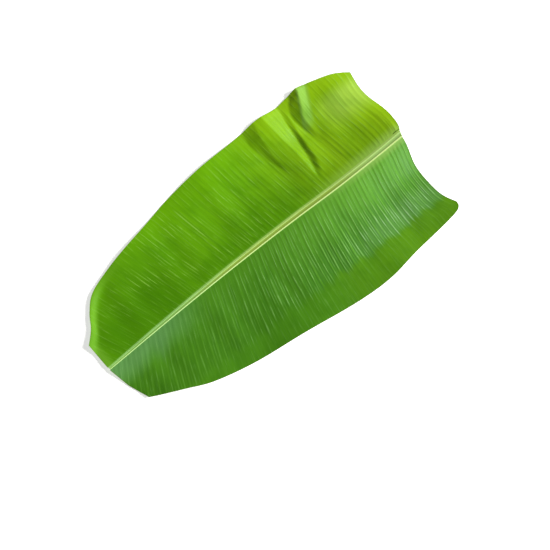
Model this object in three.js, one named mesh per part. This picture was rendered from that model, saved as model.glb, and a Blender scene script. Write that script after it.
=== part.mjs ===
// The tip end of a fresh banana leaf, cut across near its tip and again at its base end, lying upper side up.
// Millimetres. +X runs along the midrib from the tip cut to the base cut, +Y across the leaf, +Z up.
// The underside touches z = 0 along the keel under the tip half and at low spots of both margins.
import * as THREE from "three";

// Overall size
const LEAF_LENGTH = 560;
const TIP_X = -LEAF_LENGTH / 2;
const BASE_X = LEAF_LENGTH / 2;
const BLADE_THICKNESS = 0.7;

// Midrib: a grooved band on top, a flat-bottomed keel below. It thickens from tip to base, fast at first.
const RIB_HALF_WIDTH_TIP = 1.5;
const RIB_HALF_WIDTH_BASE = 5.4;
const RIB_WIDENING = 0.6;
const KEEL_DEPTH_TIP = 2.6;
const KEEL_DEPTH_BASE = 9;
const KEEL_DEEPENING = 0.8;
const GROOVE_DEPTH_TIP = 0.5;
const GROOVE_DEPTH_BASE = 1.5;
const RIB_EDGE_DROP = 0.7;
// Its slightly bowed course in plan, as [x, y]
const RIB_COURSE = [
  [-280, 1], [-215, 4], [-135, 6.1], [-50, 7.2], [25, 6.7], [85, 4.9], [150, 1.5], [215, -0.8], [280, -2.2],
];
const BASE_LIFT = 24;
const BASE_LIFT_START_X = -40;
const TIP_LIFT = 3;
const TIP_LIFT_START_X = -215;

// Side veins: raised lines on top with a valley between each two
const VEIN_PITCH_BASE = 6.9;
const VEIN_PITCH_TIP = 9.4;
const VEIN_RIDGE = 0.36;
const VEIN_VALLEY = 0.3;
const VEIN_SHARE_AT_MARGIN = 0.45;
const VEIN_RISES_BY = 0.06;
const VEIN_LEAST = 0.7;
const VEIN_MOST = 1.3;

// The blade hangs from the midrib to a foot line, and lies nearly flat from there to the margin
const LYING_HEIGHT = BLADE_THICKNESS + 0.8;
const RIB_ARCH = 0.12;
const FOOT_SOFTNESS = 0.07;

// Gentle rolls of the blade along its veins, each [height, length along the leaf]
const ROLLS = [
  [0.45, 67], [0.3, 41],
];

// Margin waves over the lying blade. They start part of the way across and grow to the margin.
const WAVE_HEIGHT = 5;
const WAVE_LENGTH = 175;
const WAVE_DIP = 0.9;
const WAVE_START = 0.45;
const WAVE_GROWTH = 1.5;

// Both corners of the base cut curl up, and so does the margin beside the tip cut
const CORNER_CURL_X = 170;
const CORNER_CURL_INNER_R = 50;
const CORNER_CURL_OUTER_R = 125;
const TIP_CURL_START_X = -190;
const TIP_CURL_FULL_X = -240;
const TIP_CURL_WIDTH = 26;

// The two halves differ in outline, in the lean of their veins and in how they lie.
// Outlines run from the base cut to the tip cut, as [x, distance from the x axis].
// A vein's angle to the midrib is in degrees, for its place along the leaf and its reach outward.
const upperHalf = {
  sign: 1,
  baseCut: [
    [282, 2], [288, 11], [293, 31], [295, 54], [291.5, 85], [293, 108], [299, 133],
  ],
  margin: [
    [299, 133], [289, 141], [272, 151], [238, 163], [215, 168], [191, 167], [167, 165], [126, 167],
    [76, 164.5], [8, 161], [-55, 154], [-112, 141], [-186, 124], [-228, 108.5], [-250, 87], [-264, 65],
    [-281, 47],
  ],
  tipCut: [
    [-280, 0], [-281, 47],
  ],
  veinAngle: (along, reach) => 62 + 28 * along ** 0.6 + 3 * reach,
  footAtTip: 50,
  footAtBase: 98,
  footWidensX: [-280, 280],
  waveLowX: 109,
  cornerCurl: 12,
  tipCurl: 4,
};
const lowerHalf = {
  sign: -1,
  baseCut: [
    [279, 7], [276, 22], [267, 52], [265.5, 87], [268, 112], [277, 134],
  ],
  margin: [
    [277, 134], [276, 139.5], [271, 144], [261, 146.5], [239, 148.5], [183, 152], [124, 158.5],
    [63, 154], [-34, 139], [-111, 126.5], [-174, 111], [-211, 94], [-241, 79], [-261, 68],
  ],
  tipCut: [
    [-280, 0], [-273, 35], [-261, 68],
  ],
  veinAngle: (along, reach) => 56 + 24 * along ** 0.75 + (4 + 12 * along ** 2) * reach,
  footAtTip: 30,
  footAtBase: 104,
  footWidensX: [-165, 30],
  waveLowX: 61.6,
  cornerCurl: 10,
  tipCurl: 2,
};

// Folds of the upper half near the base. Each crease runs out along the veins from its start to the margin,
// as [distance from the midrib, x, rise over the lying blade]. Flat facets lie between neighbouring creases.
const FOLDS_TAKE_OVER_X = [70, 130];
const FOLD_CREASES = [
  [[60, 117, 0], [98, 107, 0], [137, 100, 0], [160, 104, 0]],
  [[60, 119, 0], [98, 116, 2.8], [137, 121, 5.9], [160, 127, 6.2]],
  [[29, 144, 0], [51, 145, 2], [81, 146, 3.8], [127, 144, 6], [160, 143, 7.5]],
  [[29, 145, 0], [46, 150, -0.6], [61, 155, -0.6], [98, 163, -0.5], [160, 174, 0.5]],
  [[29, 152, 0], [46, 159.5, 1.6], [61, 164, 2.2], [90, 168.5, 2.8], [130, 176, 1.4], [160, 180, 0.6]],
  [[84, 187, 0], [109, 182, 0], [132, 180, 0.4], [152, 188, 0.6], [163, 199, 0.8]],
  [[84, 192, 0], [101, 192, 1.9], [123, 193, 3.8], [139, 203, 4.9], [163, 215, 6.2]],
  [[84, 193.5, 0], [95, 199, 0.4], [127, 211, 0.8], [146, 220, 1], [163, 230, 1.2]],
  [[84, 205, 0], [127, 235, 0], [163, 250, 0]],
];

// Grid across the leaf: fractions of the midrib's half width, then of each vein from midrib to margin.
// The last vein starts a little short of the tip cut. Veins near the base cut take on the cut's waves.
const RIB_COLUMNS = [0.5, 0, -0.5];
const BLADE_COLUMNS = [0, 0.09, 0.22, 0.38, 0.55, 0.72, 0.87, 1];
const LAST_VEIN_OFFSET = 1.2;
const CUT_WAVE_REACH = 55;

// Steps for tracing a vein to the margin, and points per stretch of a drawn outline
const VEIN_STEP = 2;
const VEIN_LONGEST = 260;
const VEIN_BEND_REACH = 150;
const HALVINGS = 30;
const OUTLINE_STEPS = 12;
// The vertical thickness grows no further than twice on a steep slope
const LEAST_UPRIGHT = 0.5;
// Multipliers that make unlike fractions of neighbouring whole numbers
const SCATTER_BY_NUMBER = 12.9898;
const SCATTER_BY_SEED = 78.233;
const SCATTER_SPREAD = 43758.5453;

const clamp01 = (v) => Math.min(1, Math.max(0, v));
const mix = (a, b, k) => a + (b - a) * k;
const smooth = (from, to, v) => {
  const k = clamp01((v - from) / (to - from));
  return k * k * (3 - 2 * k);
};
// 0 at the tip cut, 1 at the base cut
const alongLeaf = (x) => clamp01((x - TIP_X) / LEAF_LENGTH);
// A repeatable number from 0 to 1 for a whole number
const scatter = (n, seed) => {
  const v = Math.sin(n * SCATTER_BY_NUMBER + seed * SCATTER_BY_SEED) * SCATTER_SPREAD;
  return v - Math.floor(v);
};
const interpolate = (points, at) => {
  if (at <= points[0][0]) return points[0][1];
  for (let i = 1; i < points.length; i++) {
    const [x0, y0] = points[i - 1];
    const [x1, y1] = points[i];
    if (at <= x1) return mix(y0, y1, (at - x0) / (x1 - x0));
  }
  return points[points.length - 1][1];
};
// Points of a smooth line through the given ones
function densified(points) {
  const curve = new THREE.SplineCurve(points.map(([x, y]) => new THREE.Vector2(x, y)));
  return curve.getPoints(points.length * OUTLINE_STEPS).map((p) => [p.x, p.y]);
}

// Midrib
const ribLine = densified(RIB_COURSE);
const ribY = (x) => interpolate(ribLine, x);
const ribHalfWidth = (x) => mix(RIB_HALF_WIDTH_TIP, RIB_HALF_WIDTH_BASE, alongLeaf(x) ** RIB_WIDENING);
const keelLow = (x) => {
  const toBase = clamp01((x - BASE_LIFT_START_X) / (BASE_X - BASE_LIFT_START_X));
  const toTip = clamp01((TIP_LIFT_START_X - x) / (TIP_LIFT_START_X - TIP_X));
  return BASE_LIFT * toBase ** 2 + TIP_LIFT * toTip ** 2;
};
const ribTop = (x) => keelLow(x) + mix(KEEL_DEPTH_TIP, KEEL_DEPTH_BASE, alongLeaf(x) ** KEEL_DEEPENING);
const grooveDepth = (x) => mix(GROOVE_DEPTH_TIP, GROOVE_DEPTH_BASE, alongLeaf(x));

// How much of the midrib's height is left at a distance from it, 1 at the midrib and 0 past the foot line
const softRamp = (v) => FOOT_SOFTNESS * Math.log(1 + Math.exp(v / FOOT_SOFTNESS));
const hang = (q) => softRamp(1 - (Math.hypot(q, RIB_ARCH) - RIB_ARCH)) / softRamp(1);

function foldHeight(x, r) {
  const line = FOLD_CREASES.map((crease) => {
    const atX = interpolate(crease.map(([place, x]) => [place, x]), r);
    const rise = interpolate(crease.map(([place, , height]) => [place, height]), r);
    return [atX, rise];
  });
  return x <= line[0][0] ? 0 : interpolate(line, x);
}

// Height of the blade's upper face at a place in plan, with y counted outward from the x axis
function bladeTop(half, x, y) {
  const r = Math.abs(y - half.sign * ribY(x));
  const marginY = interpolate(half.marginLine, x);
  const across = clamp01(y / marginY);
  const foot = mix(half.footAtTip, half.footAtBase, smooth(...half.footWidensX, x));
  let z = LYING_HEIGHT + (ribTop(x) - RIB_EDGE_DROP - LYING_HEIGHT) * hang(r / foot);
  const waveRamp = clamp01((across - WAVE_START) / (1 - WAVE_START)) ** WAVE_GROWTH;
  const wave = (WAVE_HEIGHT / 2) * (1 - Math.cos((2 * Math.PI * (x - half.waveLowX)) / WAVE_LENGTH));
  // On the upper half the folds take the place of the margin's wave near the base
  const waveShare = half === upperHalf ? 1 - smooth(...FOLDS_TAKE_OVER_X, x) : 1;
  z += waveRamp * (wave * waveShare - WAVE_DIP);
  const nearBase = smooth(CORNER_CURL_X, BASE_X, x);
  const nearTip = smooth(TIP_CURL_START_X, TIP_CURL_FULL_X, x);
  z += half.cornerCurl * nearBase * smooth(CORNER_CURL_INNER_R, CORNER_CURL_OUTER_R, r);
  z += half.tipCurl * nearTip * smooth(TIP_CURL_WIDTH, 0, marginY - y) ** 2;
  for (const [height, length] of ROLLS) {
    z += height * Math.sin(Math.PI * across) * Math.sin((2 * Math.PI * x) / length + half.sign);
  }
  if (half === upperHalf) z += foldHeight(x, r);
  return z;
}

// Outline: a smooth margin from corner to corner, then the straight tip cut
for (const half of [upperHalf, lowerHalf]) {
  half.marginLine = densified(half.margin).reverse();
  half.baseLine = densified(half.baseCut).map(([x, y]) => [y, x]);
  half.tipLine = half.tipCut.map(([x, y]) => [y, x]);
  half.tipCorner = half.tipCut[half.tipCut.length - 1];
}
const isInside = (half, x, y) => y < interpolate(half.marginLine, x) && x > interpolate(half.tipLine, y);

// A side vein's course in plan from the midrib, without the pull of the wavy base cut
function veinCourse(half, footX) {
  const points = [[footX, half.sign * ribY(footX) + ribHalfWidth(footX)]];
  for (let r = 0; r < VEIN_LONGEST; r += VEIN_STEP) {
    const angle = THREE.MathUtils.degToRad(half.veinAngle(alongLeaf(footX), r / VEIN_BEND_REACH));
    const [x, y] = points[points.length - 1];
    points.push([x - VEIN_STEP * Math.cos(angle), y + VEIN_STEP * Math.sin(angle)]);
  }
  return points;
}

// The veins next to the base cut follow its waves, and those farther off less and less
function pulledCourse(half, footX) {
  const pull = Math.exp(-(BASE_X - footX) / CUT_WAVE_REACH);
  return veinCourse(half, footX).map(([x, y], i) => {
    const [cutX, cutY] = half.baseCourse[i];
    return [x + pull * (interpolate(half.baseLine, cutY) - cutX), y];
  });
}

// The course cut off where it meets the margin or the tip cut
function veinToMargin(half, footX) {
  const course = pulledCourse(half, footX);
  const inside = [course[0]];
  let i = 1;
  while (i < course.length && isInside(half, ...course[i])) inside.push(course[i++]);
  let [a, b] = [course[i - 1], course[Math.min(i, course.length - 1)]];
  for (let n = 0; n < HALVINGS; n++) {
    const middle = [(a[0] + b[0]) / 2, (a[1] + b[1]) / 2];
    if (isInside(half, ...middle)) a = middle;
    else b = middle;
  }
  inside.push(a);
  return inside;
}

// Point at a fraction of a course's length
function pointAt(course, w) {
  const lengths = [0];
  for (let i = 1; i < course.length; i++) {
    const step = Math.hypot(course[i][0] - course[i - 1][0], course[i][1] - course[i - 1][1]);
    lengths.push(lengths[i - 1] + step);
  }
  const at = w * lengths[lengths.length - 1];
  return [0, 1].map((axis) => interpolate(lengths.map((length, i) => [length, course[i][axis]]), at));
}

// Feet of the rows along the midrib, a ridge row and a valley row for each side vein
function rowFeet() {
  const span = LEAF_LENGTH - LAST_VEIN_OFFSET;
  const rows = 2 * Math.round(span / ((VEIN_PITCH_BASE + VEIN_PITCH_TIP) / 2));
  const feet = [];
  for (let i = 0; i <= rows; i++) {
    const k = i / rows;
    const pitchSoFar = VEIN_PITCH_BASE * k + ((VEIN_PITCH_TIP - VEIN_PITCH_BASE) * k * k) / 2;
    feet.push(BASE_X - (span * pitchSoFar) / ((VEIN_PITCH_BASE + VEIN_PITCH_TIP) / 2));
  }
  return feet;
}

const feet = rowFeet();
for (const half of [upperHalf, lowerHalf]) {
  half.baseCourse = veinCourse(half, BASE_X);
  half.courses = feet.map((footX) => veinToMargin(half, footX));
  // The course that ends nearest the tip corner is led into it, which keeps the corner sharp
  const gaps = half.courses.map((course) => {
    const [x, y] = course[course.length - 1];
    return Math.hypot(x - half.tipCorner[0], y - half.tipCorner[1]);
  });
  const nearest = half.courses[gaps.indexOf(Math.min(...gaps))];
  const [endX, endY] = nearest[nearest.length - 1];
  nearest.forEach((point, i) => {
    const share = i / (nearest.length - 1);
    point[0] += share * (half.tipCorner[0] - endX);
    point[1] += share * (half.tipCorner[1] - endY);
  });
}

// One point of the blade's upper face
function bladePoint(half, row, w) {
  const [x, y] = pointAt(half.courses[row], w);
  const uneven = mix(VEIN_LEAST, VEIN_MOST, scatter(row, half.sign));
  const strength = smooth(0, VEIN_RISES_BY, w) * mix(1, VEIN_SHARE_AT_MARGIN, w ** 2) * uneven;
  const relief = (row % 2 === 0 ? VEIN_RIDGE : -VEIN_VALLEY) * strength;
  return new THREE.Vector3(x, half.sign * y, bladeTop(half, x, y) + relief);
}

// Upper face: rows from base to tip, columns from the upper half's margin to the lower half's
const top = feet.map((footX, row) => {
  const outward = [...BLADE_COLUMNS].reverse();
  const upper = outward.map((w) => bladePoint(upperHalf, row, w));
  const lower = BLADE_COLUMNS.map((w) => bladePoint(lowerHalf, row, w));
  const upperFoot = upper[upper.length - 1];
  const rib = RIB_COLUMNS.map((q) => {
    const point = upperFoot.clone().lerp(lower[0], (1 - q) / 2);
    point.z = ribTop(footX) - (q === 0 ? grooveDepth(footX) : 0);
    return point;
  });
  return [...upper, ...rib, ...lower];
});
const rowCount = top.length;
const columnCount = top[0].length;
const ribColumn = BLADE_COLUMNS.length;
const isRib = (column) => column >= ribColumn && column < ribColumn + RIB_COLUMNS.length;

// How much more than its own thickness the blade measures vertically, where the upper face slopes
function steepness(row, column) {
  const before = Math.max(row - 1, 0);
  const after = Math.min(row + 1, rowCount - 1);
  const left = Math.max(column - 1, 0);
  const right = Math.min(column + 1, columnCount - 1);
  const alongRow = top[row][right].clone().sub(top[row][left]);
  const alongLeafStep = top[after][column].clone().sub(top[before][column]);
  const normal = alongLeafStep.cross(alongRow).normalize();
  return 1 / Math.max(Math.abs(normal.z), LEAST_UPRIGHT);
}

// Lower face: the blade's thickness below the upper one, the keel below the midrib, and nothing below z = 0
const bottom = top.map((points, row) =>
  points.map((point, column) => {
    const low = point.clone();
    if (isRib(column)) {
      low.z = keelLow(feet[row]);
      return low;
    }
    const thickness = BLADE_THICKNESS * steepness(row, column);
    low.z = Math.max(0, point.z - thickness);
    point.z = low.z + thickness;
    return low;
  }),
);

// One closed surface, with each quad split the same way on both faces
const positions = [];
for (const grid of [top, bottom]) {
  for (const points of grid) for (const point of points) positions.push(point.x, point.y, point.z);
}
const onTop = (row, column) => row * columnCount + column;
const onBottom = (row, column) => rowCount * columnCount + onTop(row, column);
const triangles = [];
for (let row = 0; row < rowCount - 1; row++) {
  for (let column = 0; column < columnCount - 1; column++) {
    const corners = [[row, column], [row + 1, column], [row + 1, column + 1], [row, column + 1]];
    const [a, b, c, d] = corners.map(([i, j]) => top[i][j]);
    const split = a.distanceTo(c) <= b.distanceTo(d) ? [[0, 1, 2], [0, 2, 3]] : [[0, 1, 3], [1, 2, 3]];
    for (const [p, q, r] of split) {
      triangles.push(onTop(...corners[p]), onTop(...corners[q]), onTop(...corners[r]));
      triangles.push(onBottom(...corners[p]), onBottom(...corners[r]), onBottom(...corners[q]));
    }
  }
}
// The narrow face round the edge joins the two
const rim = [];
for (let row = 0; row < rowCount; row++) rim.push([row, 0]);
for (let column = 1; column < columnCount; column++) rim.push([rowCount - 1, column]);
for (let row = rowCount - 2; row >= 0; row--) rim.push([row, columnCount - 1]);
for (let column = columnCount - 2; column > 0; column--) rim.push([0, column]);
rim.forEach((from, i) => {
  const to = rim[(i + 1) % rim.length];
  triangles.push(onTop(...to), onTop(...from), onBottom(...from));
  triangles.push(onTop(...to), onBottom(...from), onBottom(...to));
});

const geometry = new THREE.BufferGeometry();
geometry.setAttribute("position", new THREE.Float32BufferAttribute(positions, 3));
geometry.setIndex(triangles);
// The origin is below the middle of the leaf's outline
geometry.computeBoundingBox();
const middle = geometry.boundingBox.getCenter(new THREE.Vector3());
geometry.translate(-middle.x, -middle.y, 0);
geometry.computeVertexNormals();

const leafGreen = new THREE.MeshStandardMaterial({ color: 0x5f9a20, roughness: 0.5, metalness: 0 });
const leaf = new THREE.Mesh(geometry, leafGreen);
leaf.name = "banana_leaf";

const part = new THREE.Group();
part.add(leaf);

export default part;
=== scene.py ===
"""The cut tip end of a fresh banana leaf, lying upper side up on a pale floor.

The leaf is drawn in millimetres in plan: +X along the midrib from the tip cut to the base cut, +Y across it.
The finished mesh is centred on the outline's middle and scaled to metres.
"""

import math

import bpy
import numpy as np
from mathutils import Matrix, Vector


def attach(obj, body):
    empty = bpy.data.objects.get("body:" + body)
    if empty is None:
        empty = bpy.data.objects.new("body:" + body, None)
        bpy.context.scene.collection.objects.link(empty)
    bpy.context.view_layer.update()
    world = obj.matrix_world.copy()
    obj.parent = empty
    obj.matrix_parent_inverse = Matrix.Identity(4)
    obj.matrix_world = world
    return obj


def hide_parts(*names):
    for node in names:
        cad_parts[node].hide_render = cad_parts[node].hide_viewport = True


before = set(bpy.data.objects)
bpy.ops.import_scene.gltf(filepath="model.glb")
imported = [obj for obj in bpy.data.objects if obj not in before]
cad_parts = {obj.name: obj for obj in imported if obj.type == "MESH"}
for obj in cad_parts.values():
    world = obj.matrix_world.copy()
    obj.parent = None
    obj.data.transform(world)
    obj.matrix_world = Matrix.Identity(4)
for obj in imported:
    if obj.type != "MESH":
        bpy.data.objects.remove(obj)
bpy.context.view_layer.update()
MM = 0.001

# Leaf and midrib. Pairs run from the tip cut to the base cut.
LEAF_LENGTH = 560.0
TIP_X = -LEAF_LENGTH / 2
BASE_X = LEAF_LENGTH / 2
BLADE_THICKNESS = 0.7
# On a steep slope the thickness measured straight down grows to twice the blade's at most
LEAST_UPRIGHT = 0.5
RIB_HALF_WIDTH = (1.5, 5.4)
RIB_WIDENING = 0.6
KEEL_DEPTH = (2.6, 9.0)
KEEL_DEEPENING = 0.8
GROOVE_DEPTH = (0.4, 0.9)
RIB_EDGE_DROP = 0.7
# Across the midrib, from 0 in the middle to 1 at the edge: the groove's side and the rounding to the blade
GROOVE_SIDE = (0.2, 0.75)
RIB_ROUNDING = (0.6, 1.0)
# The midrib's course in plan, as (x, y)
RIB_COURSE = (
    (-280, 1), (-215, 4), (-135, 6.1), (-50, 7.2), (25, 6.7), (85, 4.9), (150, 1.5), (215, -0.8), (280, -2.2),
)
BASE_LIFT = 24.0
BASE_LIFT_START_X = -40.0
TIP_LIFT = 3.0
TIP_LIFT_START_X = -215.0

# Side veins, numbered from 0 at the base cut to 69 at the tip cut
VEIN_PITCH_BASE = 6.9
VEIN_PITCH_TIP = 9.4
VEIN_RELIEF_UPPER = 0.09
VEIN_RELIEF_LOWER = 0.13
VEIN_UNEVENNESS = 1.1
# Waves of unevenness, as (radians from one vein to the next, radians along a vein)
UNEVEN_WAVES = ((2.1, 5), (1.3, -9), (3.7, 23), (2.9, -34))
# Along a vein, from 0 at the midrib to 1 at the margin: its rise, its loss, and the lower half's smooth strip
VEIN_RISE = (0.0, 0.06)
VEIN_LOSS_AT_MARGIN = 0.55
SMOOTH_STRIP = (0.6, 0.75)
SMOOTH_STRIP_LOSS = 0.7
TIP_RELIEF_VEINS = (30, 50)
TIP_RELIEF_LOSS = 0.75
LAST_VEIN_OFFSET = 1.2
CUT_WAVE_REACH = 55.0
VEIN_STEP = 2.0
VEIN_LONGEST = 260.0
VEIN_BEND_REACH = 150.0

# How the blade lies
LYING_HEIGHT = BLADE_THICKNESS + 0.8
RIB_ARCH = 0.12
FOOT_SOFTNESS = 0.07
# Gentle rolls along the leaf, as (height, length)
ROLLS = ((0.45, 67.0), (0.3, 41.0))
WAVE_HEIGHT = 5.0
WAVE_LENGTH = 175.0
WAVE_DIP = 0.9
WAVE_START = 0.45
WAVE_GROWTH = 1.5
CORNER_CURL_X = 170.0
CORNER_CURL_R = (50.0, 125.0)
TIP_CURL_X = (-190.0, -240.0)
TIP_CURL_WIDTH = 26.0
FOLDS_TAKE_OVER_X = (70.0, 130.0)
# Each crease from its start outward, as (distance from the midrib, x, height)
FOLD_CREASES = (
    ((60, 117, 0), (98, 107, 0), (137, 100, 0), (160, 104, 0)),
    ((60, 119, 0), (98, 116, 2.8), (137, 121, 5.9), (160, 127, 6.2)),
    ((29, 144, 0), (51, 145, 2.0), (81, 146, 3.8), (127, 144, 6.0), (160, 143, 7.5)),
    ((29, 145, 0), (46, 150, -0.6), (61, 155, -0.6), (98, 163, -0.5), (160, 174, 0.5)),
    ((29, 152, 0), (46, 159.5, 1.6), (61, 164, 2.2), (90, 168.5, 2.8), (130, 176, 1.4), (160, 180, 0.6)),
    ((84, 187, 0), (109, 182, 0), (132, 180, 0.4), (152, 188, 0.6), (163, 199, 0.8)),
    ((84, 192, 0), (101, 192, 1.9), (123, 193, 3.8), (139, 203, 4.9), (163, 215, 6.2)),
    ((84, 193.5, 0), (95, 199, 0.4), (127, 211, 0.8), (146, 220, 1.0), (163, 230, 1.2)),
    ((84, 205, 0), (127, 235, 0), (163, 250, 0)),
)
NARROWEST_FACET = 1e-6

# The two halves. Outlines run from the base cut to the tip cut, as (x, distance from the x axis).
# A vein's angle to the midrib is in degrees, for its place along the leaf and its reach outward.
UPPER = {
    "sign": 1.0,
    "base_cut": ((282, 2), (288, 11), (293, 31), (295, 54), (291.5, 85), (293, 108), (299, 133)),
    "margin": (
        (299, 133), (289, 141), (272, 151), (238, 163), (215, 168), (191, 167), (167, 165), (126, 167),
        (76, 164.5), (8, 161), (-55, 154), (-112, 141), (-186, 124), (-228, 108.5), (-250, 87), (-264, 65),
        (-281, 47),
    ),
    "tip_cut": ((-280, 0), (-281, 47)),
    "angle": lambda along, reach: 62 + 28 * along ** 0.6 + 3 * reach,
    "foot": (50.0, 98.0),
    "foot_widens_x": (-280.0, 280.0),
    "wave_low_x": 109.0,
    "relief": VEIN_RELIEF_UPPER,
    "corner_curl": 12.0,
    "tip_curl": 4.0,
}
LOWER = {
    "sign": -1.0,
    "base_cut": ((279, 7), (276, 22), (267, 52), (265.5, 87), (268, 112), (277, 134)),
    "margin": (
        (277, 134), (276, 139.5), (271, 144), (261, 146.5), (239, 148.5), (183, 152), (124, 158.5), (63, 154),
        (-34, 139), (-111, 126.5), (-174, 111), (-211, 94), (-241, 79), (-261, 68),
    ),
    "tip_cut": ((-280, 0), (-273, 35), (-261, 68)),
    "angle": lambda along, reach: 56 + 24 * along ** 0.75 + (4 + 12 * along ** 2) * reach,
    "foot": (30.0, 104.0),
    "foot_widens_x": (-165.0, 30.0),
    "wave_low_x": 61.6,
    "relief": VEIN_RELIEF_LOWER,
    "corner_curl": 10.0,
    "tip_curl": 2.0,
}

# Mesh density
ROWS_PER_VEIN = 6
BLADE_COLUMNS = 40
COLUMN_CROWDING = 0.5
RIB_COLUMNS = 14
RIB_INSIDE = slice(BLADE_COLUMNS + 1, -BLADE_COLUMNS - 1)
OUTLINE_STEPS = 12
HALVINGS = 24
SHARP_EDGE_ANGLE = 60.0
# Millimetres to a unit of the materials' maps
ALONG_VEIN_UNIT = 100.0
ACROSS_UNIT = 10.0

# Greens of the leaf's upper side, as 0 to 255. "upper" and "lower" are its halves in the picture.
UPPER_SIDE = {
    "upper": (97, 162, 6),
    # upper_deep_and_shade: painted shade beside the midrib, and a darker green toward the tip
    "upper_deep_and_shade": (60, 120, 2),
    "upper_base": (134, 186, 13),
    "upper_cut": (148, 200, 16),
    # Painted highlight on the hump by the base corner
    "upper_hump_highlight": (180, 222, 98),
    # Painted sheen on the light facet of the second fold
    "upper_facet_painted_sheen": (122, 182, 132),
    # Vein lines, partly the veins' own paler colour and partly painted glints; also the painted highlights on
    # the rim and a crease
    "upper_line": (142, 196, 74),
    "lower": (67, 126, 19),
    # Painted light on the lower half's slope beside the midrib near the base cut
    "lower_lit_base": (92, 160, 40),
    "lower_margin": (88, 146, 16),
    # Painted sheen beside the midrib at the lower half's tip
    "lower_tip_sheen": (84, 138, 66),
    # Vein lines, partly the veins' own paler colour and partly painted glints
    "lower_line": (136, 190, 104),
    # Painted sheen on the lower half's veins near the base cut
    "lower_painted_sheen": (168, 212, 158),
}
# The duller, paler greens of its lower side
LOWER_SIDE = {
    **dict.fromkeys(("upper", "lower"), (112, 150, 84)),
    **dict.fromkeys(("upper_base", "upper_cut", "lower_lit_base", "lower_margin", "lower_tip_sheen"), (130, 162, 92)),
    **dict.fromkeys(("upper_line", "upper_hump_highlight", "upper_facet_painted_sheen", "lower_line", "lower_painted_sheen"), (160, 188, 128)),
    "upper_deep_and_shade": (100, 138, 74),
}
# RIB_SHOULDER: partly the midrib's own pale band, partly painted light over the shade on its outer slope
RIB_SHOULDER = (164, 208, 104)
RIB_RIDGE = (200, 228, 136)
RIB_RIDGE_TIP = (190, 228, 146)
RIB_UPPER_RIDGE = (182, 222, 114)
RIB_UPPER_RIDGE_TIP = (166, 222, 128)
RIB_GROOVE = (142, 172, 66)
RIB_GROOVE_TIP = (126, 174, 84)
RIB_GREEN = (166, 206, 112)
KEEL_PALE = (188, 206, 132)
EDGE_BROWN = (110, 104, 40)
# Painted shade for a slit beside the midrib
SLIT_SHADE = (58, 84, 26)
# Tones of the green under them, as multipliers, for random streaks and for painted light and shade
DARK = (0.62, 0.72, 0.6, 1)
DARKEST_SHADE = (0.42, 0.54, 0.44, 1)
LIGHT = (1.35, 1.22, 1.5, 1)

# Noise drawn out along the veins, as (per vein, per 100 mm, seed, detail, roughness)
BROAD_STREAKS = (0.12, 0.7, 0.0, 2.0, 0.5)
MIDDLING_STREAKS = (0.8, 0.8, 3.0, 2.0, 0.5)
FINE_STREAKS = (3.2, 1.6, 7.0, 3.0, 0.6)
PATCHES = (0.35, 3.0, 27.0, 2.0, 0.5)
DASHES = (1.7, 4.0, 11.0, 3.0, 0.5)
FAINT_DASHES = (5.5, 5.0, 19.0, 2.0, 0.5)
HALF_VEIN_DASHES = (1.3, 2.2, 37.0, 2.0, 0.5)
CLUSTERS = (0.22, 2.2, 41.0, 2.0, 0.5)
VEIN_DRIFT = (0.9, 1.2, 31.0, 2.0, 0.5)
VEIN_DRIFT_WIDTH = 0.7
REACH_WOBBLE = (0.45, 0.0, 23.0, 2.0, 0.5)
REACH_WOBBLE_WIDTH = 0.4

# Where each look comes and goes. Two numbers are where it isn't there yet and where it is full.
# Four are two places and the look's share at each.
# Names that end in VEINS count veins. REACH is the distance from the midrib along a vein in units of 100 mm,
# and ZONE the same with an uneven edge. ACROSS is 1 at the midrib's edge and 0.1 more for each millimetre
# past it, positive on the upper half. GAP is the distance to the leaf's edge in centimetres.
# Reach is below 0 in the lower half where a look tells the halves apart.
UPPER_HALF_REACH = (-0.005, 0.005)
BASE_VEINS = (31.0, 13.0)
TIP_VEINS = (50.0, 64.0)
# Painted shade on the upper half beside the midrib, and its darker green toward the tip
SHADE_BY_RIB_REACH = (0.75, 0.15)
SHADE_BY_RIB_VEINS = (10.0, 36.0, 0.13, 0.5)
DEEP_BY_TIP_VEINS = (34.0, 58.0, 0.0, 0.75)
DEEP_BY_TIP_REACH = (0.45, 0.85, 1.0, 0.8)
CUT_VEINS = (8.0, 3.0)
CUT_REACH = (1.0, 1.4, 1.0, 0.3)
# A painted highlight on the hump by the base corner
HUMP_HIGHLIGHT_VEINS = (11.0, 4.5)
HUMP_HIGHLIGHT_INNER_REACH = (0.55, 0.95, 0.0, 0.42)
HUMP_HIGHLIGHT_OUTER_REACH = (1.35, 1.1)
# A painted sheen on the light facet of the second fold, which slants across the veins by so many veins for
# each unit of reach
FACET_SLANT = 6.5
FACET_TIP_SIDE = (20.6, 20.0)
FACET_BASE_SIDE = (17.2, 18.4)
FACET_REACH = (0.9, 1.15, 0.0, 0.2)
# Toward the base cut the lower half has its own margin green and, inside LOWER_LIT_ZONE, painted light on the
# slope beside the midrib
LOWER_BASE_VEINS = (40.0, 8.0)
LOWER_LIT_ZONE = (1.14, 1.02)
# A painted sheen beside the midrib at the lower half's tip
TIP_SHEEN_VEINS = (48.0, 60.0)
TIP_SHEEN_ZONE = (0.5, 0.08)
# A painted sheen on the lower half's veins near the base cut
PAINTED_SHEEN_VEINS = (26.0, 14.0)
PAINTED_SHEEN_INNER_ZONE = (0.6, 0.9)
PAINTED_SHEEN_OUTER_ZONE = (1.14, 1.02)
PAINTED_SHEEN_SHARE = 0.08

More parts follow.
